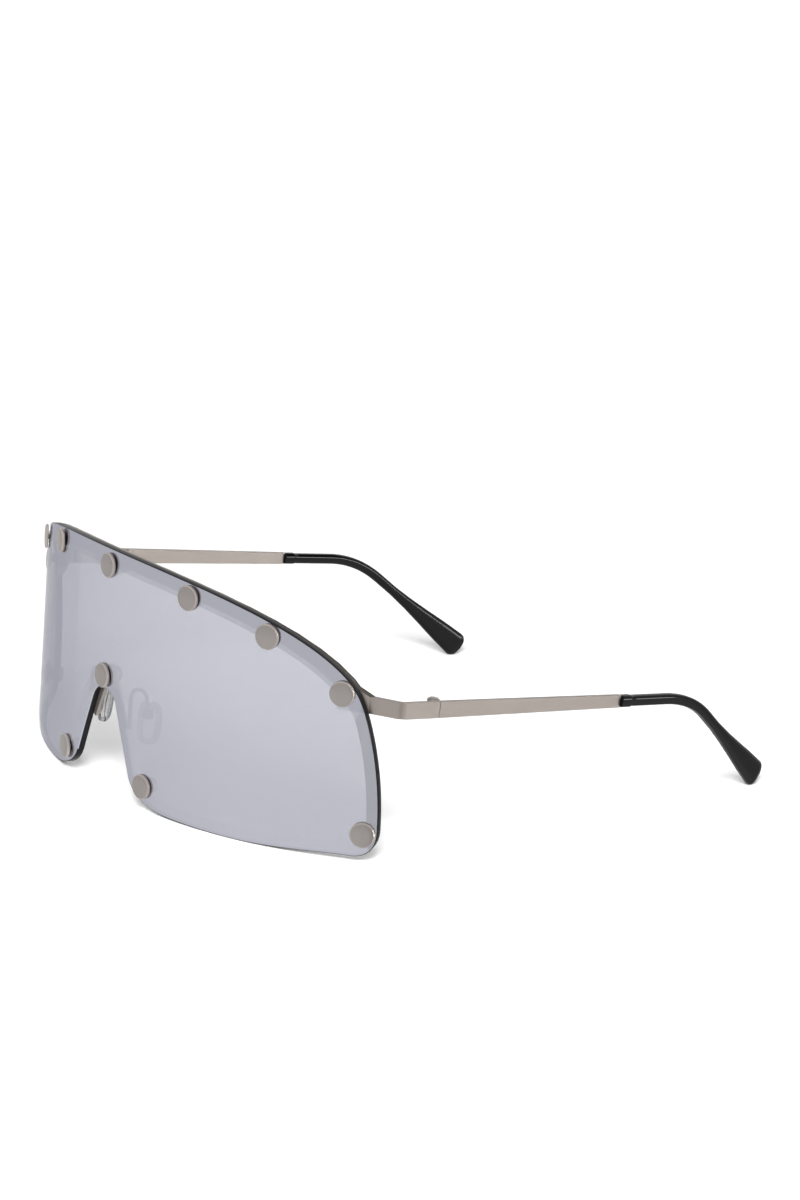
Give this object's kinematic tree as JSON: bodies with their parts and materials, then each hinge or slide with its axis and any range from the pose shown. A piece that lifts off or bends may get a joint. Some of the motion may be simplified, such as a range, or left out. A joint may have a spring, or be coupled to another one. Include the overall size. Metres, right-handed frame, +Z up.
{
  "type": "shield sunglasses",
  "caption": "Frameless shield sunglasses: one wrapped mirror lens riveted to a thin metal brow bar, with folding temples, black ear tips and rocking clear nose pads",
  "frame": {"origin": "on the surface that the pair rests on, below the middle of its width and of its length", "axes": "+X to the wearer's left, +Y to the rear along the temples, +Z up; the lens's front faces -Y"},
  "size_m": [0.1522, 0.156, 0.06],
  "materials": {
    "lens": "clear plastic with a silver flash mirror coat",
    "bar_nickel": "satin nickel",
    "stud_nickel": "satin nickel, lightly brushed, with a bright chamfer",
    "hinge_nickel": "satin nickel",
    "screw_steel": "machined",
    "tip_black": "black acetate, polished at the collar and satin at the paddle",
    "bush_clear": "clear",
    "pad_clear": "clear silicone"
  },
  "bodies": {
    "front": {"shield_lens": "lens", "brow_bar": "bar_nickel", "end_piece_left": "bar_nickel", "end_piece_right": "bar_nickel", "hinge_front_left": "hinge_nickel", "hinge_front_right": "hinge_nickel", "hinge_screw_left": "screw_steel", "hinge_screw_right": "screw_steel", "top_studs": "stud_nickel", "lower_studs": "stud_nickel", "bridge_stud": "stud_nickel", "lens_bushes": "bush_clear", "back_nuts": "stud_nickel", "nose_bracket": "hinge_nickel", "pad_arm_left": "hinge_nickel", "pad_arm_right": "hinge_nickel", "pad_box_left": "hinge_nickel", "pad_box_right": "hinge_nickel", "pad_screw_left": "screw_steel", "pad_screw_right": "screw_steel"},
    "temple_left": {"temple_left": "bar_nickel", "temple_tip_left": "tip_black", "hinge_temple_left": "hinge_nickel"},
    "temple_right": {"temple_right": "bar_nickel", "temple_tip_right": "tip_black", "hinge_temple_right": "hinge_nickel"},
    "pad_left": {"nose_pad_left": "pad_clear"},
    "pad_right": {"nose_pad_right": "pad_clear"}
  },
  "joints": [
    {"name": "temple_left_fold", "type": "hinge", "parent": "front", "child": "temple_left", "pos_m": [0.07292, -0.03349, 0.036], "axis": [-0.0039, 0.0971, 0.9953], "range_deg": [0, 93]},
    {"name": "temple_right_fold", "type": "hinge", "parent": "front", "child": "temple_right", "pos_m": [-0.07292, -0.03349, 0.036], "axis": [-0.0039, -0.0971, -0.9953], "range_deg": [0, 86]},
    {"name": "nose_pad_left_rock", "type": "hinge", "parent": "front", "child": "pad_left", "pos_m": [0.01123, -0.07101, 0.02182], "axis": [0.6428, 0.766, -0.0117], "range_deg": [-8, 8]},
    {"name": "nose_pad_right_rock", "type": "hinge", "parent": "front", "child": "pad_right", "pos_m": [-0.01123, -0.07101, 0.02182], "axis": [0.6428, -0.766, 0.0117], "range_deg": [-8, 8]}
  ]
}
